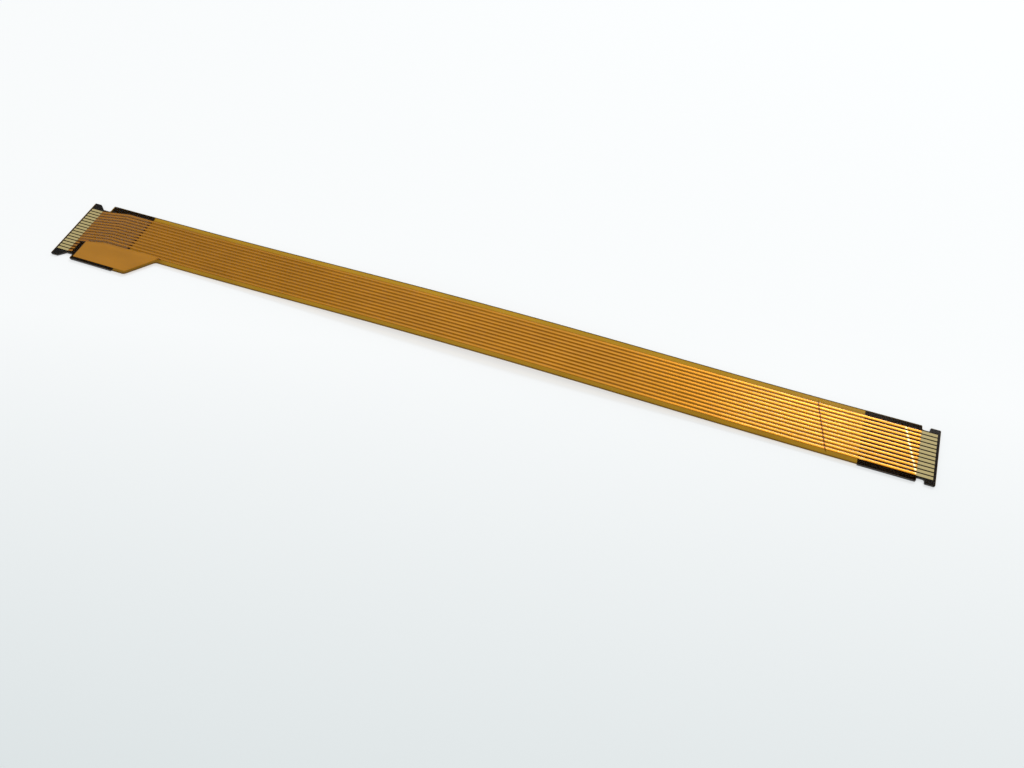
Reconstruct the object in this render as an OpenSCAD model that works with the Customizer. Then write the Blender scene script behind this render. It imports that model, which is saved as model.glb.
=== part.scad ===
// Flexible printed cable: a wide tail with a copper-backed tab at one end, a narrow tail at the other.
// It lies on the stiffeners behind its tails, and the free film between them stands in a low bow.

/* [Cable] */
// Length over both tails
cable_len = 114; // [60:1:220]
// Distance from one conductor to the next
pitch = 0.5; // [0.4:0.05:0.7]
// Number of conductors that run from tail to tail
trace_count = 12; // [4:1:15]
// Number of fingers at the wide tail
wide_count = 16; // [13:1:24]
// Film beside the outer conductors
body_margin = 0.85; // [0.5:0.05:1.5]
// Height of the bow at its middle
bow_h = 0.6; // [0:0.1:4]
// Flat film beyond the tab and the narrow stiffener before the bow starts
bow_lead = 1; // [0.5:0.1:5]

/* [Conductors] */
// Width of a conductor under the cover film
trace_w = 0.3; // [0.15:0.01:0.34]
// Width of a bare finger
finger_w = 0.34; // [0.2:0.01:0.38]
// Bare film between the end of a tail and its fingers
setback = 0.24; // [0.1:0.02:0.6]
// Sideways step between the rows at the two ends
lean = 0.7; // [0.1:0.1:1.2]
// Length over which the conductors lean
lean_run = 4; // [2.5:0.1:6]

/* [Wide tail] */
// Film from the middle of the outer finger to the edge of the ear
wide_ear_margin = 1.25; // [0.8:0.05:1.6]
// Film from the middle of the outer finger to the floor of the notch
wide_neck_margin = 0.45; // [0.3:0.05:0.7]
// Bare length of the fingers, with the setback
wide_bare = 2.1; // [1.2:0.05:2.5]
// Straight length of an ear
wide_ear_len = 1; // [0.5:0.05:1.8]
// Length of the slope from the ear to the notch floor
wide_slope_run = 1; // [0.4:0.05:1.4]
// Length of the notch floor
wide_floor_len = 1.15; // [0.6:0.05:1.8]
// Length of the stiffener
wide_stiff_len = 9.9; // [6:0.1:12]

/* [Tab] */
// Distance from the end of the tail to the tab's slope
tab_len = 12.1; // [9:0.1:20]
// Length of the slope
tab_slope_run = 2.9; // [2:0.1:6]
// Film round the copper area
area_margin = 0.45; // [0.2:0.05:0.8]
// Gap between the last signal conductor and the copper area
area_gap = 0.3; // [0.12:0.01:0.34]
// Distance from the notch wall to the copper area
area_setback = 0.25; // [0.15:0.05:0.6]
// Gap between the spare fingers and the copper area
spare_gap = 0.7; // [0.3:0.05:1]

/* [Narrow tail] */
// Film from the middle of the outer finger to the edge of the ear
narrow_ear_margin = 0.85; // [0.7:0.05:1.2]
// Film from the middle of the outer finger to the floor of the notch
narrow_neck_margin = 0.35; // [0.25:0.05:0.45]
// Bare length of the fingers, with the setback
narrow_bare = 2; // [1.2:0.05:3.5]
// Length of an ear
narrow_ear_len = 1.1; // [0.6:0.05:2]
// Length of the notch
narrow_notch_len = 0.85; // [0.5:0.05:2]
// Length of the stiffener
narrow_stiff_len = 8; // [4:0.1:12]

/* [Layers] */
// Thickness of a tail over its plated fingers
tail_t = 0.3; // [0.25:0.01:0.4]
// Thickness of the base film
base_t = 0.05; // [0.04:0.005:0.08]
// Thickness of the copper
copper_t = 0.035; // [0.02:0.005:0.05]
// Thickness of the plating on the fingers
plating_t = 0.01; // [0.005:0.005:0.02]
// Thickness of the cover film over the copper
cover_t = 0.05; // [0.03:0.005:0.08]
// How much lower the cover film lies beside the copper
cover_sink = 0.02; // [0.005:0.005:0.025]

/* [Corners] */
// Radius of the outer corners
ear_r = 0.12; // [0.04:0.02:0.2]
// Radius in the corners of the notches
notch_r = 0.2; // [0.04:0.02:0.24]
// Radius at both ends of the tab's slope
tab_r = 0.8; // [0.1:0.1:1.4]
// Radius of the corners of the copper area
area_r = 0.15; // [0.05:0.05:0.3]

/* [Hidden] */
ground = trace_count - 1;
last_signal = trace_count - 2;
function two_digits(n) = str(n < 10 ? "0" : "", n);
signal_names = [for (i = [0:last_signal]) str("conductor_", two_digits(i + 1))];
spare_names = [for (i = [trace_count:wide_count - 1]) str("spare_contact_", two_digits(i + 1))];

film_amber = "#b5842b";
cover_amber = "#c08e2c";
copper = "#b8743a";
pale_plating = "#c9c39a";
stiffener_black = "#201d20";

bow_steps = 24;       // flat facets along the bow
corner_steps = 6;     // facets round a corner
clip_reach = 1;       // how far a clipping square reaches past the film

// Heights, from the surface that the cable lies on
stiff_t = tail_t - base_t - copper_t - plating_t;
copper_z = stiff_t + base_t;
cover_z = copper_z + copper_t;
ridge_z = cover_z + cover_t;
valley_z = ridge_z - cover_sink;

// Places along the cable, from the end of the wide tail
notch_start = wide_ear_len + wide_slope_run;
notch_wall = notch_start + wide_floor_len;
area_start = notch_wall + area_setback;
spare_end = area_start - spare_gap;
lean_end = wide_bare + lean_run;
tab_end = tab_len + tab_slope_run;
bow_start = tab_end + bow_lead;
bow_end = cable_len - narrow_stiff_len - bow_lead;
narrow_cover_end = cable_len - narrow_bare;
narrow_ear_start = cable_len - narrow_ear_len;
narrow_notch_start = narrow_ear_start - narrow_notch_len;
copper_end = cable_len - setback;

// Places across the cable, from the middle of its free film
function trace_y(i) = ((trace_count - 1) / 2 - i) * pitch;
function finger_y(i) = trace_y(i) - lean;
edge_y = trace_y(0) + body_margin;
ear_far_y = finger_y(0) + wide_ear_margin;
neck_far_y = finger_y(0) + wide_neck_margin;
neck_near_y = finger_y(wide_count - 1) - wide_neck_margin;
tab_y = finger_y(wide_count - 1) - wide_ear_margin;
narrow_ear_y = trace_y(0) + narrow_ear_margin;
narrow_neck_y = trace_y(0) + narrow_neck_margin;
area_top_y = trace_y(last_signal) - trace_w / 2 - area_gap;
area_low_y = tab_y + area_margin;
far_y = max(edge_y, ear_far_y, narrow_ear_y);

// Edge of the copper area along the tab's slope, at a place across the cable
tab_drop = -edge_y - tab_y;
function area_slope_x(y) =
    tab_len + ((y - tab_y) * tab_slope_run - area_margin * norm([tab_slope_run, tab_drop])) / tab_drop;

// The bow: level where it meets the flat ends, highest in its middle
function bow(x) = bow_h * (1 - cos(360 * (x - bow_start) / (bow_end - bow_start))) / 2;
stations = [for (k = [0:bow_steps]) bow_start + (bow_end - bow_start) * k / bow_steps];

// Outline with rounded corners, from a list of [x, y, radius]
function unit(v) = v / norm(v);
function flat(p) = [p.x, p.y];
function corner(p, at, n, r) =
    let (
        a = unit(p - at),
        b = unit(n - at),
        half = acos(a * b) / 2,
        centre = at + unit(a + b) * r / sin(half),
        start = at + a * r / tan(half) - centre,
        side = a.x * b.y - a.y * b.x > 0 ? -1 : 1
    )
    [for (k = [0:corner_steps])
        let (t = side * (180 - 2 * half) * k / corner_steps)
        centre + [start.x * cos(t) - start.y * sin(t), start.x * sin(t) + start.y * cos(t)]];
function rounded(pts) =
    let (count = len(pts))
    [for (i = [0:count - 1])
        each pts[i].z > 0
            ? corner(flat(pts[(i + count - 1) % count]), flat(pts[i]), flat(pts[(i + 1) % count]), pts[i].z)
            : [flat(pts[i])]];

// From the cable's own places to a box that stands centred on the origin
module place() {
    translate([-cable_len / 2, -(far_y + tab_y) / 2, 0]) children();
}

// A flat layer between two heights
module layer(low, high) {
    translate([0, 0, low]) linear_extrude(high - low) children();
}

// A bowed layer between two heights, by the two edges of its width
module bowed_layer(low, high, y_near, y_far) {
    side = concat(
        [for (x = stations) [x, low + bow(x)]],
        [for (k = [bow_steps:-1:0]) [stations[k], high + bow(stations[k])]]
    );
    translate([0, y_far, 0]) rotate([90, 0, 0]) linear_extrude(y_far - y_near) polygon(side);
}

// A straight run of copper, by its two ends, middle line and width
module run(x_from, x_to, y, w) {
    translate([x_from, y - w / 2]) square([x_to - x_from, w]);
}

// All that lies between two places along the cable
module span(x_from, x_to) {
    translate([x_from, tab_y - clip_reach]) square([x_to - x_from, far_y - tab_y + 2 * clip_reach]);
}

module wide_outline() {
    polygon(rounded([
        [0, tab_y, ear_r],
        [wide_ear_len, tab_y, ear_r],
        [notch_start, neck_near_y, notch_r],
        [notch_wall, neck_near_y, notch_r],
        [notch_wall, tab_y, ear_r],
        [tab_len, tab_y, tab_r],
        [tab_end, -edge_y, tab_r],
        [bow_start, -edge_y, 0],
        [bow_start, edge_y, 0],
        [notch_wall, edge_y, ear_r],
        [notch_wall, neck_far_y, notch_r],
        [notch_start, neck_far_y, notch_r],
        [wide_ear_len, ear_far_y, ear_r],
        [0, ear_far_y, ear_r]
    ]));
}

module narrow_outline() {
    polygon(rounded([
        [bow_end, -edge_y, 0],
        [narrow_notch_start, -edge_y, ear_r],
        [narrow_notch_start, -narrow_neck_y, notch_r],
        [narrow_ear_start, -narrow_neck_y, notch_r],
        [narrow_ear_start, -narrow_ear_y, ear_r],
        [cable_len, -narrow_ear_y, ear_r],
        [cable_len, narrow_ear_y, ear_r],
        [narrow_ear_start, narrow_ear_y, ear_r],
        [narrow_ear_start, narrow_neck_y, notch_r],
        [narrow_notch_start, narrow_neck_y, notch_r],
        [narrow_notch_start, edge_y, ear_r],
        [bow_end, edge_y, 0]
    ]));
}

// Signal conductor on the wide tail: finger, lean, straight part
module signal_plan(i) {
    half = trace_w / 2;
    run(setback, wide_bare, finger_y(i), finger_w);
    polygon([
        [wide_bare, finger_y(i) - half],
        [lean_end, trace_y(i) - half],
        [bow_start, trace_y(i) - half],
        [bow_start, trace_y(i) + half],
        [lean_end, trace_y(i) + half],
        [wide_bare, finger_y(i) + half]
    ]);
}

// Ground conductor on the wide tail: finger, stub, copper area, straight part
module ground_plan() {
    run(setback, wide_bare, finger_y(ground), finger_w);
    run(wide_bare, area_start, finger_y(ground), trace_w);
    polygon(rounded([
        [area_start, finger_y(ground) + trace_w / 2, 0],
        [area_start, area_low_y, area_r],
        [area_slope_x(area_low_y), area_low_y, area_r],
        [area_slope_x(area_top_y), area_top_y, 0],
        [lean_end, area_top_y, 0]
    ]));
    run(tab_len, bow_start, trace_y(ground), trace_w);
}

// Spare finger: its inner end lies under the cover film
module spare_plan(i) {
    run(setback, wide_bare, finger_y(i), finger_w);
    run(wide_bare, spare_end, finger_y(i), trace_w);
}

// Any conductor on the narrow tail
module narrow_plan(i) {
    run(bow_end, narrow_cover_end, trace_y(i), trace_w);
    run(narrow_cover_end, copper_end, trace_y(i), finger_w);
}

module wide_copper() {
    for (i = [0:last_signal]) signal_plan(i);
    ground_plan();
    for (i = [trace_count:wide_count - 1]) spare_plan(i);
}

module narrow_copper() {
    for (i = [0:ground]) narrow_plan(i);
}

// Copper of one conductor along the bow
module bowed_trace(i) {
    bowed_layer(copper_z, cover_z, trace_y(i) - trace_w / 2, trace_y(i) + trace_w / 2);
}

module base_film() {
    color(film_amber) place() {
        layer(stiff_t, copper_z) wide_outline();
        bowed_layer(stiff_t, copper_z, -edge_y, edge_y);
        layer(stiff_t, copper_z) narrow_outline();
    }
}

// Cover film on a flat end: first child its outline, second child the copper under it
module flat_cover() {
    layer(copper_z, valley_z) difference() {
        children(0);
        children(1);
    }
    layer(cover_z, ridge_z) intersection() {
        children(0);
        children(1);
    }
}

// Cover film along the bow: a ridge over each conductor, a valley beside it
module bowed_cover() {
    half = trace_w / 2;
    bowed_layer(copper_z, valley_z, trace_y(0) + half, edge_y);
    for (i = [0:ground]) bowed_layer(cover_z, ridge_z, trace_y(i) - half, trace_y(i) + half);
    for (i = [0:last_signal]) bowed_layer(copper_z, valley_z, trace_y(i + 1) + half, trace_y(i) - half);
    bowed_layer(copper_z, valley_z, -edge_y, trace_y(ground) - half);
}

module coverlay() {
    color(cover_amber) place() {
        flat_cover() {
            intersection() {
                wide_outline();
                span(wide_bare, bow_start);
            }
            wide_copper();
        }
        bowed_cover();
        flat_cover() {
            intersection() {
                narrow_outline();
                span(bow_end, narrow_cover_end);
            }
            narrow_copper();
        }
    }
}

module signal_conductor(i) {
    color(copper) place() {
        layer(copper_z, cover_z) signal_plan(i);
        bowed_trace(i);
        layer(copper_z, cover_z) narrow_plan(i);
    }
}

module ground_conductor() {
    color(copper) place() {
        layer(copper_z, cover_z) ground_plan();
        bowed_trace(ground);
        layer(copper_z, cover_z) narrow_plan(ground);
    }
}

module spare_contact(i) {
    color(copper) place() layer(copper_z, cover_z) spare_plan(i);
}

module plating_wide_tail() {
    color(pale_plating) place() layer(cover_z, tail_t) {
        for (i = [0:wide_count - 1]) run(setback, wide_bare, finger_y(i), finger_w);
    }
}

module plating_narrow_tail() {
    color(pale_plating) place() layer(cover_z, tail_t) {
        for (i = [0:ground]) run(narrow_cover_end, copper_end, trace_y(i), finger_w);
    }
}

module stiffener_wide_tail() {
    color(stiffener_black) place() layer(0, stiff_t) intersection() {
        wide_outline();
        span(-clip_reach, wide_stiff_len);
    }
}

module stiffener_narrow_tail() {
    color(stiffener_black) place() layer(0, stiff_t) intersection() {
        narrow_outline();
        span(cable_len - narrow_stiff_len, cable_len + clip_reach);
    }
}

base_film();
coverlay();
for (i = [0:last_signal])
    signal_conductor(i);
ground_conductor();
for (i = [trace_count:wide_count - 1])
    spare_contact(i);
plating_wide_tail();
plating_narrow_tail();
stiffener_wide_tail();
stiffener_narrow_tail();
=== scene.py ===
# Flexible printed cable: amber film over copper conductors, with black stiffeners behind both tails.
import math

import bpy
import numpy as np
from mathutils import Matrix, Vector


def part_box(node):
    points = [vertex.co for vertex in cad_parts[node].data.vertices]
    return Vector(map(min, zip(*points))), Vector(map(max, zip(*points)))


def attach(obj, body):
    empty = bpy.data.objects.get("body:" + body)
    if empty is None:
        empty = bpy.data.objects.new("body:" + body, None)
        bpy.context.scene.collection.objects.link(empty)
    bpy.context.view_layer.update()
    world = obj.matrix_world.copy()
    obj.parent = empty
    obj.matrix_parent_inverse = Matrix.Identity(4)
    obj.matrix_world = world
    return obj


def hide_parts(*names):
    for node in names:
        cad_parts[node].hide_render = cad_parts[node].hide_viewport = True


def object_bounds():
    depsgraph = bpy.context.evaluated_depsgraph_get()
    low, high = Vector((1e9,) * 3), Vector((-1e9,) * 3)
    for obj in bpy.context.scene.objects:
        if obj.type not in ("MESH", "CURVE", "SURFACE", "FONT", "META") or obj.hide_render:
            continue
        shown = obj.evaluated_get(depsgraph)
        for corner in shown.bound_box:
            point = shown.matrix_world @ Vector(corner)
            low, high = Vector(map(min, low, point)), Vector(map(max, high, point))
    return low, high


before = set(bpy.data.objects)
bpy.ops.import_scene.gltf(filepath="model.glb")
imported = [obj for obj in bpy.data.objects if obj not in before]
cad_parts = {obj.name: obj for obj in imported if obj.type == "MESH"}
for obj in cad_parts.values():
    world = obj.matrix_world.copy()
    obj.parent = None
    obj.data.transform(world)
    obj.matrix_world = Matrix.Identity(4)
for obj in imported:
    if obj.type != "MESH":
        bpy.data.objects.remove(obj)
cadLow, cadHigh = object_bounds()
scene = bpy.context.scene
mm = 0.001

# Sizes of the cable in millimetres. X runs from the wide tail's end, Y from the middle of the free film,
# Z up from the surface that the cable lies on.
cable = dict(
    length=114.0, width=7.2, pitch=0.5, traces=12, fingers=16, lean=0.7, leanEnd=6.1,
    traceWidth=0.3, wideBare=2.1, narrowBare=2.0,
    stiffTop=0.205, baseTop=0.255, valley=0.32, ridge=0.34,
    bowStart=16.0, bowEnd=105.0, bowHeight=0.6,
)
origin = Vector((cadLow.x, sum(c.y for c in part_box("stiffener_narrow_tail")) / 2, 0))
coverStart = cable["wideBare"]
coverEnd = cable["length"] - cable["narrowBare"]


def traceY(i):
    return ((cable["traces"] - 1) / 2 - i) * cable["pitch"]


def bow(x):
    t = np.clip((x - cable["bowStart"]) / (cable["bowEnd"] - cable["bowStart"]), 0, 1)
    return cable["bowHeight"] * (1 - np.cos(2 * np.pi * t)) / 2


def smooth(t):
    t = np.clip(t, 0, 1)
    return t * t * (3 - 2 * t)


camera = dict(
    target=(0.01006, -0.00442, 0.0), distance=0.09504, azimuth=24.62, elevation=56.19, roll=4.53,
    lens=28.378, sensor=36.0,
)


def makeCamera():
    data = bpy.data.cameras.new("camera")
    data.lens, data.sensor_width = camera["lens"], camera["sensor"]
    data.clip_start, data.clip_end = 0.005, 20
    cam = bpy.data.objects.new("camera", data)
    scene.collection.objects.link(cam)
    turn, rise, roll = (math.radians(camera[k]) for k in ("azimuth", "elevation", "roll"))
    back = Vector((math.sin(turn) * math.cos(rise), -math.cos(turn) * math.cos(rise), math.sin(rise)))
    right = Vector((math.cos(turn), math.sin(turn), 0))
    up = back.cross(right)
    rolled = right * math.cos(roll) - up * math.sin(roll)
    upright = up * math.cos(roll) + right * math.sin(roll)
    cam.matrix_world = Matrix.Translation(
        Vector(camera["target"]) + back * camera["distance"]
    ) @ Matrix((rolled, upright, back)).transposed().to_4x4()
    scene.camera = cam


makeCamera()
print("camera ready")


# Shorthand for shader nodes
def newMaterial(name):
    material = bpy.data.materials.new(name)
    material.use_nodes = True
    tree = material.node_tree
    return material, tree, tree.nodes["Principled BSDF"], tree.nodes["Material Output"]


def add(tree, kind, links=(), **values):
    # One node; links are (its input, the socket that feeds it)
    node = tree.nodes.new(kind)
    for key, value in values.items():
        if key in node.bl_rna.properties and not key[0].isupper():
            setattr(node, key, value)
        else:
            node.inputs[key.replace("_", " ")].default_value = value
    for name, socket in links:
        tree.links.new(socket, node.inputs[name])
    return node


def grain(tree, scale, detail=3.0, stretch=(1, 1, 1)):
    # Noise in the cable's own space, in features per millimetre
    spot = add(tree, "ShaderNodeTexCoord")
    mapping = add(tree, "ShaderNodeMapping", [("Vector", spot.outputs["Object"])])
    mapping.inputs["Scale"].default_value = [1000 * s for s in stretch]
    return add(
        tree, "ShaderNodeTexNoise", [("Vector", mapping.outputs[0])], Scale=scale, Detail=detail
    ).outputs["Fac"]


def spread(tree, socket, low, high, fromLow=0.3, fromHigh=0.7):
    return add(
        tree, "ShaderNodeMapRange", [("Value", socket)],
        From_Min=fromLow, From_Max=fromHigh, To_Min=low, To_Max=high,
    ).outputs[0]


def bump(tree, height, shader, strength, distance):
    node = add(tree, "ShaderNodeBump", [("Height", height)], Strength=strength, Distance=distance)
    tree.links.new(node.outputs[0], shader.inputs["Normal"])
    return node


film = dict(
    flank=0.10, flankInset=0.05,     # rounding over a conductor: half its width, and where it starts
    cutRun=0.02,                     # how far the cut ends of the cover film slope
    glueGap=0.002,                   # glue line between the film and a stiffener
    arcSteps=6,
    rimSteps=(0, 0.04, 0.10, 0.17, 0.25),  # mesh lines beside a long edge
    marginTint=(0.71, 0.53, 0.155),  # what one surface lets through: clear of the copper,
    ridgeTint=(0.745, 0.53, 0.18),   # over a conductor,
    gapTint=(0.57, 0.34, 0.075),     # and over the glue between two
    # rimShadeTint and rimShadeWidth paint shade as a dark line along both long edges of the film
    rimShadeTint=(0.24, 0.22, 0.15), rimShadeWidth=0.13,
    # Painted sheen: a cooler, duller look over the copper on the wide tail, standing in for the film's
    # gloss there
    tailSheenTint=(0.92, 0.93, 1.10),     # a cooler look over the wide tail
    # Painted shade: the tab's near margin is darker, up to tabShadeEnd
    tabShadeTint=(0.66, 0.60, 0.55), tabShadeEnd=15.2, tabShadeFade=1.2,  # the tab's near margin is darker
    copperFade=0.03, bandFade=0.1,   # how softly one tint gives way to the next
    marginShare=0.025, ridgeShare=0.11, gapShare=0.02, baseShare=0.03, edgeShare=0.5, bareShare=0.10,
    glueBody=(0.62, 0.25, 0.02), glueShare=0.22,  # glue that shows between conductors
    glueEnd=9.75, glueFade=0.15,     # on the wide tail, and where this ends
    hazeShare=0.03, hazeEnd=48.0,    # duller surface near the wide tail
    body=(0.10, 0.045, 0.008),       # the film's own colour, where it isn't clear
    bareBody=(0.022, 0.019, 0.014),
    glanceShare=0.8, gloss=1.8, roughness=0.13,
)
# Lines across the cover film, each from one place to another, with half width, height and tint: a shallow
# groove with painted shade along it, and near-white painted highlights over the copper on a slight rise
creaseShadeTint, paintedGlintTint = (0.30, 0.22, 0.15), (0.98, 0.97, 0.90)
creases = [
    dict(start=(100.8, 3.1), end=(102.6, -3.2), width=0.06, height=-0.006, tint=creaseShadeTint),
]
# Painted highlights: near-white glints where the conductors cross a slight rise, and one small bright spot
paintedGlints = [
    dict(start=(110.35, 2.85), end=(112.0, -2.8), width=0.10, height=0.006, tint=paintedGlintTint),
    dict(start=(106.2, -2.86), end=(106.45, -2.9), width=0.08, height=0.0, tint=paintedGlintTint),
]


def edgeLine(corners):
    # Points along a long edge, with its corners rounded; corners are (x, y, radius)
    line = []
    for (ax, ay, _), (bx, by, r), (cx, cy, _) in zip(corners, corners[1:], corners[2:]):
        at = Vector((bx, by))
        a, c = (Vector((ax, ay)) - at).normalized(), (Vector((cx, cy)) - at).normalized()
        half = math.acos(max(-1, min(1, a.dot(c)))) / 2
        centre = at + (a + c).normalized() * r / math.sin(half)
        start = at + a * r / math.tan(half) - centre
        side = -1 if a.x * c.y - a.y * c.x > 0 else 1
        for k in range(film["arcSteps"] + 1):
            t = side * (math.pi - 2 * half) * k / film["arcSteps"]
            line.append((
                centre.x + start.x * math.cos(t) - start.y * math.sin(t),
                centre.y + start.x * math.sin(t) + start.y * math.cos(t),
            ))
    xs, ys = [], []
    for x, y in line:
        if xs and x < xs[-1] + 1e-3:
            x = xs[-1] + 1e-3
        xs.append(x)
        ys.append(y)
    xs = np.array(xs)
    return xs - np.linspace(0, xs[-1] - cable["length"], len(xs)), np.array(ys)


outline = dict(
    wideEar=1.0, wideNotch=2.0, wideWall=3.15, tab=12.1, slope=15.0,  # where each part ends, from the tail
    narrowNotch=112.05, narrowEar=112.9,
    farEar=3.3, farFloor=2.5, nearEar=-6.7, nearFloor=-5.9, narrowFloor=3.1,
    earRadius=0.12, floorRadius=0.2, tabRadius=0.8,
)


def wideCorners(ear, floor, beyond):
    # An ear, the slope and floor of the notch behind it, and the notch's wall
    sharp, soft = outline["earRadius"], outline["floorRadius"]
    return [
        (0, 0, 0), (0, ear, sharp), (outline["wideEar"], ear, sharp), (outline["wideNotch"], floor, soft),
        (outline["wideWall"], floor, soft), (outline["wideWall"], beyond, sharp),
    ]


def narrowCorners(side):
    edge, floor = side * cable["width"] / 2, side * outline["narrowFloor"]
    sharp, soft = outline["earRadius"], outline["floorRadius"]
    return [
        (outline["narrowNotch"], edge, sharp), (outline["narrowNotch"], floor, soft),
        (outline["narrowEar"], floor, soft), (outline["narrowEar"], edge, sharp),
        (cable["length"], edge, sharp), (cable["length"], 0, 0),
    ]


tabCorners = [
    (outline["tab"], outline["nearEar"], outline["tabRadius"]),
    (outline["slope"], -cable["width"] / 2, outline["tabRadius"]),
]
farLine = edgeLine(
    wideCorners(outline["farEar"], outline["farFloor"], cable["width"] / 2) + narrowCorners(1)
)
nearLine = edgeLine(
    wideCorners(outline["nearEar"], outline["nearFloor"], outline["nearEar"]) + tabCorners
    + narrowCorners(-1)
)

# Copper under the cover film: the tab's area, with straight sides, and the ends of the spare fingers
pour = dict(start=3.4, startSide=-3.3, farSide=-2.7, nearSide=-6.25, margin=0.45, narrows=12.1)
spareEnd = 2.7


def pourSlope(y):
    # The area's slope runs beside the tab's own
    run, rise = outline["slope"] - outline["tab"], -cable["width"] / 2 - outline["nearEar"]
    start = outline["tab"] - pour["margin"] * math.hypot(run, rise) / rise
    return round(start + (y - outline["nearEar"]) * run / rise, 3)


area = [
    (pour["start"], pour["startSide"]), (pour["start"], pour["nearSide"]),
    (pourSlope(pour["nearSide"]), pour["nearSide"]), (pourSlope(pour["farSide"]), pour["farSide"]),
    (cable["leanEnd"], pour["farSide"]),
]


def leanShift(x):
    return -cable["lean"] * (1 - np.clip((x - coverStart) / (cable["leanEnd"] - coverStart), 0, 1))


def copperDepth(x, y):
    # How far inside the outline of the copper a place lies, in millimetres; negative outside it
    half = cable["traceWidth"] / 2
    depth = np.full(x.shape, -1.0)
    for i in range(cable["traces"] - 1):
        depth = np.maximum(depth, half - np.abs(y - traceY(i) - leanShift(x)))
    last = cable["traces"] - 1
    depth = np.maximum(depth, np.minimum(half - np.abs(y - traceY(last)), x - pour["narrows"]))
    depth = np.maximum(
        depth, np.minimum(half - np.abs(y - traceY(last) + cable["lean"]), pour["start"] - x)
    )
    inside = np.full(x.shape, np.inf)
    for (ax, ay), (bx, by) in zip(area, area[1:] + area[:1]):
        run = math.hypot(bx - ax, by - ay)
        inside = np.minimum(inside, ((bx - ax) * (y - ay) - (by - ay) * (x - ax)) / run)
    depth = np.maximum(depth, inside)
    for i in range(cable["traces"], cable["fingers"]):
        spare = half - np.abs(y - traceY(i) + cable["lean"])
        depth = np.maximum(depth, np.minimum(spare, spareEnd - x))
    return depth


def filmStations():
    # Places along the film, closer together where its outline, its copper or a mark changes
    spans = [  # from, to, step
        (0, coverStart, 0.3),
        (coverStart, cable["leanEnd"], 0.2),
        (2.5, 3.5, 0.05),    # ends of the spare fingers, wall of the notch
        (cable["leanEnd"], 11.6, 0.3),
        (11.6, cable["bowStart"], 0.1),
        (cable["bowStart"], 100.5, 0.7),
        (100.5, 103, 0.04),  # crease
        (103, 110.2, 0.25),
        (110.2, 112, 0.04),  # glint
        (112, cable["length"], 0.2),
    ]
    besideFixed, besideLast = 0.02, 5e-4
    xs = [x for a, b, step in spans for x in np.arange(a, b, step)]
    run = film["cutRun"]
    fixed = [*farLine[0], *nearLine[0], 0, cable["length"]]
    fixed += [coverStart, coverStart + run, coverEnd - run, coverEnd]
    fixed = set(np.round(fixed, 6))
    kept = []
    for x in sorted(fixed | set(np.round(xs, 6))):
        if x in fixed or all(abs(x - f) > besideFixed for f in fixed):
            if not kept or x - kept[-1] > besideLast:
                kept.append(x)
    return np.array(kept)


def filmColumns(x):
    # Places across the film at one station, from its near edge to its far edge
    near, far = np.interp(x, *nearLine), np.interp(x, *farLine)
    half, shift = cable["pitch"] / 2, float(leanShift(x))
    last = traceY(cable["traces"] - 1) + shift - half
    # Inner end of the near margin: it follows the outer finger on the tail, then the copper area
    beyondTab = smooth((x - outline["slope"]) / 1.5)
    beyondFingers = smooth((x - 2.8) / 0.5)
    onSlope = smooth((x - 11.6) / 0.5)
    tabMargin, slopeMore, freeMargin = 0.62, 0.21, 0.15
    beside = near + (tabMargin + slopeMore * onSlope) * (1 - beyondTab) + freeMargin * beyondTab
    outerFinger = traceY(cable["fingers"] - 1) - cable["lean"] - half
    inner = outerFinger * (1 - beyondFingers) + beside * beyondFingers
    rim = film["rimSteps"]
    inset = min(1, (inner - near) * 0.48 / rim[-1])
    columns = [near + d * inset for d in rim]
    columns += [near + (inner - near) * f for f in (0.53, 0.65, 0.73, 0.81)]
    spares = cable["fingers"] - cable["traces"]
    for k in range(spares):
        for off in (0, 0.1, 0.3, 0.5, 0.7, 0.9):
            columns.append(inner + (last - inner) * (k + off) / spares)
    for i in range(cable["traces"] - 1, -1, -1):
        middle = traceY(i) + shift
        columns += [middle + off for off in (-half, -0.2, -0.15, -0.1, 0, 0.1, 0.15, 0.2)]
    top = traceY(0) + shift + half
    inset = min(1, (far - top) * 0.5 / rim[-1])
    columns += [top, (top + far - rim[-1] * inset) / 2]
    return columns + [far - d * inset for d in reversed(rim)]


def lineMark(mark, x, y):
    # How strongly a place lies on a line across the film, 0 to 1
    (ax, ay), (bx, by) = mark["start"], mark["end"]
    length = math.hypot(bx - ax, by - ay)
    along = ((x - ax) * (bx - ax) + (y - ay) * (by - ay)) / length
    off = ((bx - ax) * (y - ay) - (by - ay) * (x - ax)) / length
    ends = smooth(along / 0.4 + 0.5) * smooth((length - along) / 0.4 + 0.5)
    return np.exp(-(off / mark["width"]) ** 2) * ends


def blend(base, colour, amount):
    return base + (np.array(colour) - base) * amount[..., None]


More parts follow.
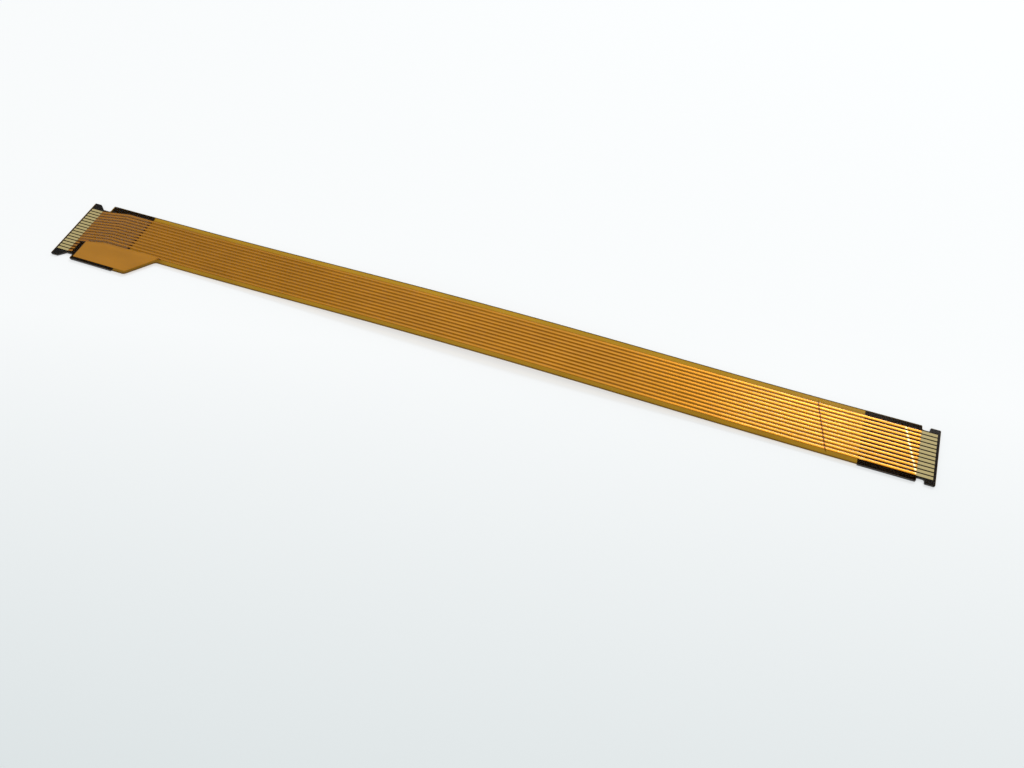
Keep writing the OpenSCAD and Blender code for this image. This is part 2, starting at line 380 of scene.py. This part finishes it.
def filmLooks(x, y, depth, covered):
    # For each place on top: what it lets through, with painted shade, sheen and highlights worked in, how
    # much of its own surface it shows, its own colour, and how far the crease and the glint lines lift it
    half, fade = cable["pitch"] / 2, film["bandFade"]
    plain, lift = np.ones((*x.shape, 3)), np.zeros(x.shape)
    onCopper = smooth((depth + film["copperFade"]) / (2 * film["copperFade"]))
    bandFar = traceY(0) + leanShift(x) + half
    lastSide = traceY(cable["traces"] - 1) + leanShift(x) - half
    spareSide = traceY(cable["fingers"] - 1) + leanShift(x) - half
    bandNear = np.where(x < pour["start"], spareSide, lastSide)
    inBand = smooth((bandFar - y) / fade) * smooth((y - bandNear) / fade)
    onWideTail = 1 - smooth((x - film["glueEnd"]) / film["glueFade"])

    tint = blend(plain * film["marginTint"], film["gapTint"], inBand)
    tint = blend(tint, film["ridgeTint"], onCopper)
    # Painted sheen: the copper over the wide tail looks cooler
    onTailSheen = onWideTail * onCopper * smooth((y - bandNear) / fade)
    tint = tint * blend(plain, film["tailSheenTint"], onTailSheen)
    for crease in creases:
        mark = lineMark(crease, x, y) * covered
        lift += crease["height"] * mark
        # Painted shade darkens the film along the crease's shallow groove
        tint = tint * blend(plain, crease["tint"], mark)
    for paintedGlint in paintedGlints:
        mark = lineMark(paintedGlint, x, y) * covered * onCopper
        lift += paintedGlint["height"] * mark
        # Painted highlight: the glints turn the film near white over the copper
        tint = blend(tint, paintedGlint["tint"], mark)
    # Painted shade: darker over the tab's near margin, clear of the copper
    onTabShade = 1 - smooth((x - film["tabShadeEnd"]) / film["tabShadeFade"])
    onTabShade = onTabShade * smooth((bandNear - y) / fade) * (1 - onCopper)
    tint = tint * blend(plain, film["tabShadeTint"], onTabShade)
    # Painted shade: a dark line along both long edges of the top
    toEdge = np.minimum(y - y[:, :1], y[:, -1:] - y)
    tint = tint * blend(plain, film["rimShadeTint"], np.exp(-(toEdge / film["rimShadeWidth"]) ** 2))

    share = film["marginShare"] + (film["gapShare"] - film["marginShare"]) * inBand
    share = share + (film["ridgeShare"] - share) * onCopper
    share = share + film["hazeShare"] * (1 - smooth(x / film["hazeEnd"]))
    glue = smooth((y - lastSide) / fade) * inBand * (1 - onCopper) * covered * onWideTail
    share = share + film["glueShare"] * glue
    body = blend(plain * film["body"], film["glueBody"], glue)
    return tint, share, body, lift


coverPart, basePart, cutPart, barePart = range(4)  # the film's materials, in order


def filmFaces(count, width, covered):
    # The top's grid of points comes first, then the underside's near and far corners at each station
    nearLow, farLow = count * width, count * width + count
    faces, parts = [], []
    for i in range(count - 1):
        topPart = coverPart if covered[i, 0] or covered[i + 1, 0] else barePart
        for k in range(i * width, i * width + width - 1):
            faces.append((k, k + width, k + width + 1, k + 1))
        near, far = i * width, i * width + width - 1
        faces.append((nearLow + i, farLow + i, farLow + i + 1, nearLow + i + 1))
        faces.append((nearLow + i, nearLow + i + 1, near + width, near))
        faces.append((far, far + width, farLow + i + 1, farLow + i))
        parts += [topPart] * (width - 1) + [basePart, cutPart, cutPart]
    faces.append([nearLow, *range(width), farLow])
    lastRow = range(count * width - 1, (count - 1) * width - 1, -1)
    faces.append([farLow + count - 1, *lastRow, nearLow + count - 1])
    return faces, parts + [cutPart, cutPart]


def makeFilm():
    xs = filmStations()
    ys = np.array([filmColumns(x) for x in xs])
    grid = np.repeat(xs[:, None], ys.shape[1], axis=1)
    depth = copperDepth(grid, ys)
    covered = (grid > coverStart + 1e-3) & (grid < coverEnd - 1e-3)
    tint, share, body, lift = filmLooks(grid, ys, depth, covered)
    raised = smooth((depth - film["flankInset"] + film["flank"]) / (2 * film["flank"]))
    cover = cable["valley"] + (cable["ridge"] - cable["valley"]) * raised
    high = np.where(covered, cover, cable["baseTop"] + 0.001) + bow(grid) + lift
    low = cable["stiffTop"] + film["glueGap"] + bow(xs)
    top = np.stack([grid, ys, high], -1).reshape(-1, 3)
    nearLow = np.stack([xs, ys[:, 0], low], -1)
    farLow = np.stack([xs, ys[:, -1], low], -1)
    points = np.concatenate([top, nearLow, farLow]) * mm + np.array(origin)
    faces, parts = filmFaces(*ys.shape, covered)
    mesh = bpy.data.meshes.new("flexFilm")
    mesh.from_pydata(points.tolist(), [], faces)
    mesh.polygons.foreach_set("material_index", parts)
    mesh.polygons.foreach_set("use_smooth", [True] * len(faces))
    mesh.set_sharp_from_angle(angle=math.radians(40))
    under = np.ones((2 * len(xs), 1))
    for name, over, below in (("tint", tint, film["marginTint"]), ("body", body, film["body"])):
        colours = np.concatenate([over.reshape(-1, 3), under * below])
        store = mesh.attributes.new(name, "FLOAT_COLOR", "POINT")
        store.data.foreach_set("color", np.hstack([colours, np.ones((len(colours), 1))]).ravel())
    store = mesh.attributes.new("share", "FLOAT", "POINT")
    store.data.foreach_set("value", np.concatenate([share.ravel(), under[:, 0] * film["baseShare"]]))
    mesh.validate()
    piece = bpy.data.objects.new("flexFilm", mesh)
    scene.collection.objects.link(piece)
    mesh.materials.append(filmMaterial("coverFilm"))
    mesh.materials.append(filmMaterial("baseFilm", film["body"]))
    mesh.materials.append(filmMaterial("filmCutEdge", film["body"], film["edgeShare"]))
    mesh.materials.append(filmMaterial("bareFilm", film["bareBody"], film["bareShare"]))
    return piece


def filmMaterial(name, body=None, least=0.0):
    # Without a body colour, the mesh's own is used
    material, tree, shader, output = newMaterial(name)
    if body:
        shader.inputs["Base Color"].default_value = (*body, 1)
    else:
        own = add(tree, "ShaderNodeAttribute", attribute_name="body").outputs["Color"]
        tree.links.new(own, shader.inputs["Base Color"])
    shader.inputs["IOR"].default_value = film["gloss"]
    haze = grain(tree, 0.35, 4)
    low = film["roughness"]
    tree.links.new(spread(tree, haze, low - 0.02, low + 0.05), shader.inputs["Roughness"])
    bump(tree, grain(tree, 2.5, 5, (0.3, 1, 1)), shader, 0.06, 0.004 * mm)
    # What it lets through varies a little from place to place
    tint = add(tree, "ShaderNodeAttribute", attribute_name="tint").outputs["Color"]
    uneven = spread(tree, grain(tree, 0.6, 3, (0.4, 1, 1)), 0.965, 1.035)
    clear = add(tree, "ShaderNodeBsdfTransparent")
    scaled = add(tree, "ShaderNodeVectorMath", [(0, tint), (1, uneven)], operation="MULTIPLY")
    tree.links.new(scaled.outputs[0], clear.inputs["Color"])
    # More of the surface shows at a glancing angle
    facing = add(tree, "ShaderNodeLayerWeight", Blend=0.5).outputs["Facing"]
    glance = add(tree, "ShaderNodeMath", [(0, facing)], operation="POWER")
    glance.inputs[1].default_value = 4
    amount = spread(tree, glance.outputs[0], least, film["glanceShare"], 0, 1)
    share = add(tree, "ShaderNodeAttribute", attribute_name="share").outputs["Fac"]
    most = add(tree, "ShaderNodeMath", [(0, amount), (1, share)], operation="MAXIMUM")
    mix = add(tree, "ShaderNodeMixShader")
    tree.links.new(most.outputs[0], mix.inputs[0])
    tree.links.new(clear.outputs[0], mix.inputs[1])
    tree.links.new(shader.outputs[0], mix.inputs[2])
    tree.links.new(mix.outputs[0], output.inputs["Surface"])
    return material


filmPiece = makeFilm()
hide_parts("base_film", "coverlay")
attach(filmPiece, "root")


print("film ready")


metal = dict(
    copper=(0.86, 0.72, 0.50), copperRoughness=0.34,
    plating=(0.44, 0.35, 0.14), platingRoughness=0.6, platingMetallic=0.05,
    fingerWidth=0.35, fingerTop=0.30, fingerStart=0.30, softening=0.014,
    underCover=0.015, insideFinger=0.02,  # plating's run under the cover film, copper's step inside it
    # sideShadeColour is painted shade on the falling sides of each conductor
    traceWidth=0.32, traceTop=0.290, crown=0.010, sideShadeColour=(0.36, 0.18, 0.08),
    intoPour=0.3,                         # ground finger's reach into the tab's copper
)


def metalMaterial(name, colour, roughness, metallic):
    material, tree, shader, _ = newMaterial(name)
    shader.inputs["Base Color"].default_value = (*colour, 1)
    shader.inputs["Metallic"].default_value = metallic
    rolled = grain(tree, 3, 4, (0.08, 1, 1))
    tree.links.new(spread(tree, rolled, roughness - 0.05, roughness + 0.06), shader.inputs["Roughness"])
    bump(tree, rolled, shader, 0.2, 0.004 * mm)
    return material


def addBox(points, faces, low, high):
    first = len(points)
    for z in (low[2], high[2]):
        points += [(low[0], low[1], z), (high[0], low[1], z), (high[0], high[1], z), (low[0], high[1], z)]
    faces += [
        tuple(first + k for k in face)
        for face in ((3, 2, 1, 0), (4, 5, 6, 7), (0, 1, 5, 4), (1, 2, 6, 5), (2, 3, 7, 6), (3, 0, 4, 7))
    ]


def newMesh(name, points, faces, materials):
    mesh = bpy.data.meshes.new(name)
    mesh.from_pydata([tuple(origin + Vector(p) * mm) for p in points], [], faces)
    for material in materials:
        mesh.materials.append(material)
    return mesh


def placePiece(name, mesh, node):
    mesh.validate()
    piece = bpy.data.objects.new(name, mesh)
    scene.collection.objects.link(piece)
    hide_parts(node)
    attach(piece, "root")
    return piece


def makePiece(name, points, faces, materials, node, softening):
    piece = placePiece(name, newMesh(name, points, faces, materials), node)
    soften = piece.modifiers.new("soften", "BEVEL")
    soften.width, soften.segments = softening * mm, 2
    soften.limit_method, soften.angle_limit = "ANGLE", math.radians(40)
    return piece


def makeFingers(name, node, ys, start, end):
    # Plating over the top and sides of each bare finger, a little under the cover film
    points, faces = [], []
    half = metal["fingerWidth"] / 2
    for y in ys:
        low, high = (start, y - half, cable["baseTop"] + 0.0005), (end, y + half, metal["fingerTop"])
        addBox(points, faces, low, high)
    return makePiece(name, points, faces, [plating], node, metal["softening"])


def addTrace(points, faces, sideShades, xs, ys):
    # One conductor as a strip with a rounded back; sideShades holds 1 at its sides and 0 on its back, for
    # painted shade on its sides
    first, half = len(points), metal["traceWidth"] / 2
    side = [(1, 1.0), (1, 0.5), (0.8, 0.3), (0.45, 0.1)]  # half widths out, and share of the fall
    rows = [(-across, fall) for across, fall in side] + [(0, 0)] + side[::-1]
    thick = metal["traceTop"] - cable["baseTop"] - 0.001
    for x, y in zip(xs, ys):
        for across, fall in rows:
            drop = fall * metal["crown"] * 2 if fall < 1 else thick
            points.append((x, y + across * half, metal["traceTop"] - drop + float(bow(x))))
            sideShades.append(abs(across) ** 3)
    count = len(rows)
    for i in range(len(xs) - 1):
        for j in range(count):
            a, b = first + i * count + j, first + i * count + (j + 1) % count
            faces.append((a, a + count, b + count, b))
    faces.append(tuple(first + j for j in range(count)))
    faces.append(tuple(first + (len(xs) - 1) * count + j for j in range(count - 1, -1, -1)))


def traceStations(start, end):
    ends = [start, *(x for x in (coverStart, 4.0, cable["leanEnd"]) if start < x < end), end]
    free = np.arange(cable["bowStart"], cable["bowEnd"], 1.5)
    return np.array(sorted(set(ends + [float(x) for x in free if start < x < end])))


def makeConductor(name, node, runs, plate=None):
    # Each run is (finger number, start, end)
    points, faces, sideShades = [], [], []
    for i, start, end in runs:
        xs = traceStations(start, end)
        addTrace(points, faces, sideShades, xs, traceY(i) + leanShift(xs))
    if plate:
        first, count = len(points), len(plate)
        levels = (cable["baseTop"] + 0.001, metal["traceTop"] - 0.001)
        points += [(x, y, z) for z in levels for x, y in plate]
        sideShades += [0.0] * (2 * count)
        faces.append(tuple(first + k for k in range(count - 1, -1, -1)))
        faces.append(tuple(first + count + k for k in range(count)))
        for k in range(count):
            after = (k + 1) % count
            faces.append((first + k, first + after, first + count + after, first + count + k))
    mesh = newMesh(name, points, faces, [copper])
    mesh.polygons.foreach_set("use_smooth", [True] * len(faces))
    mesh.set_sharp_from_angle(angle=math.radians(35))
    mesh.attributes.new("edge", "FLOAT", "POINT").data.foreach_set("value", sideShades)
    placePiece(name, mesh, node)


def copperMaterial():
    # Rolled foil, with painted shade where the etched sides fall away
    material = metalMaterial("rolledCopper", metal["copper"], metal["copperRoughness"], 1)
    tree = material.node_tree
    edge = add(tree, "ShaderNodeAttribute", attribute_name="edge").outputs["Fac"]
    mix = add(tree, "ShaderNodeMix", data_type="RGBA")
    mix.inputs["A"].default_value = (*metal["copper"], 1)
    mix.inputs["B"].default_value = (*metal["sideShadeColour"], 1)
    tree.links.new(spread(tree, edge, 0, 1, 0.2, 1.0), mix.inputs["Factor"])
    tree.links.new(mix.outputs["Result"], tree.nodes["Principled BSDF"].inputs["Base Color"])
    return material


copper = copperMaterial()
plating = metalMaterial(
    "fingerPlating", metal["plating"], metal["platingRoughness"], metal["platingMetallic"]
)
makeFingers(
    "platedFingersWide", "plating_wide_tail", [traceY(i) - cable["lean"] for i in range(cable["fingers"])],
    metal["fingerStart"], coverStart + metal["underCover"],
)
makeFingers(
    "platedFingersNarrow", "plating_narrow_tail", [traceY(i) for i in range(cable["traces"])],
    coverEnd - metal["underCover"], cable["length"] - metal["fingerStart"],
)
fingerStart = metal["fingerStart"] + metal["insideFinger"]
fingerEnd = cable["length"] - metal["fingerStart"] - metal["insideFinger"]
lastTrace = cable["traces"] - 1
for i in range(lastTrace):
    makeConductor(f"conductor{i + 1:02d}", f"conductor_{i + 1:02d}", [(i, fingerStart, fingerEnd)])
groundRuns = [
    (lastTrace, fingerStart, pour["start"] + metal["intoPour"]), (lastTrace, pour["narrows"], fingerEnd),
]
makeConductor("groundConductor", "ground_conductor", groundRuns, area)
for i in range(cable["traces"], cable["fingers"]):
    makeConductor(f"spareContact{i + 1}", f"spare_contact_{i + 1}", [(i, fingerStart, spareEnd)])
print("conductors and fingers ready")


stiffener = dict(
    wideLength=9.9, narrowLength=8.0, softening=0.02,
    colour=(0.016, 0.015, 0.015), roughness=0.42, glued=(0.008, 0.007, 0.007),
)


def blackMaterial(name, colour, gloss):
    material, tree, shader, _ = newMaterial(name)
    shader.inputs["Base Color"].default_value = (*colour, 1)
    shader.inputs["Specular IOR Level"].default_value = gloss
    speckle = grain(tree, 6, 4)
    rough = stiffener["roughness"]
    tree.links.new(spread(tree, speckle, rough - 0.06, rough + 0.08), shader.inputs["Roughness"])
    bump(tree, speckle, shader, 0.25, 0.004 * mm)
    return material


def makeStiffener(name, node, start, end):
    # The film's own outline between two places along it
    near, far = (
        [(x, y) for x, y in zip(*line) if start - 1e-6 <= x <= end + 1e-6] for line in (nearLine, farLine)
    )
    if start > 0:
        near.insert(0, (start, near[0][1]))
        far.insert(0, (start, far[0][1]))
    else:
        near.append((end, near[-1][1]))
        far.append((end, far[-1][1]))
    ring = near + far[::-1]
    count = len(ring)
    points = [(x, y, z) for z in (0, cable["stiffTop"]) for x, y in ring]
    faces = [tuple(range(count - 1, -1, -1)), tuple(range(count, 2 * count))]
    faces += [(k, (k + 1) % count, count + (k + 1) % count, count + k) for k in range(count)]
    materials = [blackOpen, blackGlued]
    piece = makePiece(name, points, faces, materials, node, stiffener["softening"])
    piece.data.polygons[1].material_index = 1  # its top, under the film
    return piece


blackOpen = blackMaterial("stiffenerBlack", stiffener["colour"], 0.4)
blackGlued = blackMaterial("gluedBlack", stiffener["glued"], 0.0)
makeStiffener("stiffenerWideTail", "stiffener_wide_tail", 0, stiffener["wideLength"])
makeStiffener(
    "stiffenerNarrowTail", "stiffener_narrow_tail",
    cable["length"] - stiffener["narrowLength"], cable["length"],
)
print("stiffeners ready")


studio = dict(
    floorSize=6.0, floorDrop=0.03 * mm, floorGlow=0.62,
    # Painted shade on the floor: nearShadeColour toward the viewer
    floorColour=(0.965, 0.98, 0.985), nearShadeColour=(0.735, 0.785, 0.795),
    greyEnd=-0.058, greyStart=-0.003, floorTurn=12,  # where it is greyest and palest; turn in degrees
    lampFrom=(0.235, 0.68, 0.69), lampDistance=0.6, lampSize=0.16, lampPower=1.15,
    fillFrom=(-0.25, 0.55, 0.80), fillDistance=0.9, fillSize=0.5, fillPower=0.36,
    skyColour=(0.98, 0.995, 1.0), skyStrength=0.72,
)


def seenDirectly(tree):
    # 1 for the eye, and for what gloss and glass show
    path = add(tree, "ShaderNodeLightPath")
    seen = path.outputs["Is Camera Ray"]
    for name in ("Is Glossy Ray", "Is Transmission Ray"):
        both = add(tree, "ShaderNodeMath", [(0, seen), (1, path.outputs[name])], operation="MAXIMUM")
        seen = both.outputs[0]
    return seen


def makeFloor():
    half = studio["floorSize"] / 2
    mesh = bpy.data.meshes.new("floor")
    corners = [(-half, -half, 0), (half, -half, 0), (half, half, 0), (-half, half, 0)]
    mesh.from_pydata(corners, [], [(0, 1, 2, 3)])
    floor = bpy.data.objects.new("floor", mesh)
    floor.location.z = -studio["floorDrop"]
    scene.collection.objects.link(floor)
    material, tree, shader, output = newMaterial("paleFloor")
    shader.inputs["Roughness"].default_value = 0.9
    shader.inputs["Specular IOR Level"].default_value = 0.1
    # Painted shade: a little greyer toward the viewer
    spot = add(tree, "ShaderNodeTexCoord")
    turned = add(tree, "ShaderNodeMapping", [("Vector", spot.outputs["Object"])])
    turned.inputs["Rotation"].default_value[2] = -math.radians(studio["floorTurn"])
    place = add(tree, "ShaderNodeSeparateXYZ", [("Vector", turned.outputs[0])])
    colour = add(tree, "ShaderNodeMix", data_type="RGBA")
    colour.inputs["A"].default_value = (*studio["nearShadeColour"], 1)
    colour.inputs["B"].default_value = (*studio["floorColour"], 1)
    pale = spread(tree, place.outputs["Y"], 0, 1, studio["greyEnd"], studio["greyStart"])
    tree.links.new(pale, colour.inputs["Factor"])
    tree.links.new(colour.outputs["Result"], shader.inputs["Base Color"])
    glow = add(tree, "ShaderNodeEmission", [("Color", colour.outputs["Result"])])
    amount = spread(tree, seenDirectly(tree), 0, studio["floorGlow"], 0, 1)
    mix = add(tree, "ShaderNodeMixShader")
    tree.links.new(amount, mix.inputs[0])
    tree.links.new(shader.outputs[0], mix.inputs[1])
    tree.links.new(glow.outputs[0], mix.inputs[2])
    tree.links.new(mix.outputs[0], output.inputs["Surface"])
    mesh.materials.append(material)


def makeLamp(name, toward, distance, size, power):
    data = bpy.data.lights.new(name, "AREA")
    data.shape, data.size, data.energy = "DISK", size, power
    lamp = bpy.data.objects.new(name, data)
    scene.collection.objects.link(lamp)
    toward = Vector(toward).normalized()
    middle = (cadLow + cadHigh) / 2
    lamp.matrix_world = Matrix.Translation(middle + toward * distance) @ (
        (-toward).to_track_quat("-Z", "Y").to_matrix().to_4x4()
    )


def makeSky():
    world = bpy.data.worlds.new("sky")
    scene.world = world
    world.use_nodes = True
    tree = world.node_tree
    back = tree.nodes["Background"]
    back.inputs["Color"].default_value = (*studio["skyColour"], 1)
    strength = spread(tree, seenDirectly(tree), studio["skyStrength"], 1, 0, 1)
    tree.links.new(strength, back.inputs["Strength"])


makeFloor()
for kind in ("lamp", "fill"):
    makeLamp(kind, *(studio[kind + part] for part in ("From", "Distance", "Size", "Power")))
makeSky()
scene.view_settings.view_transform = "Standard"
print("studio ready")
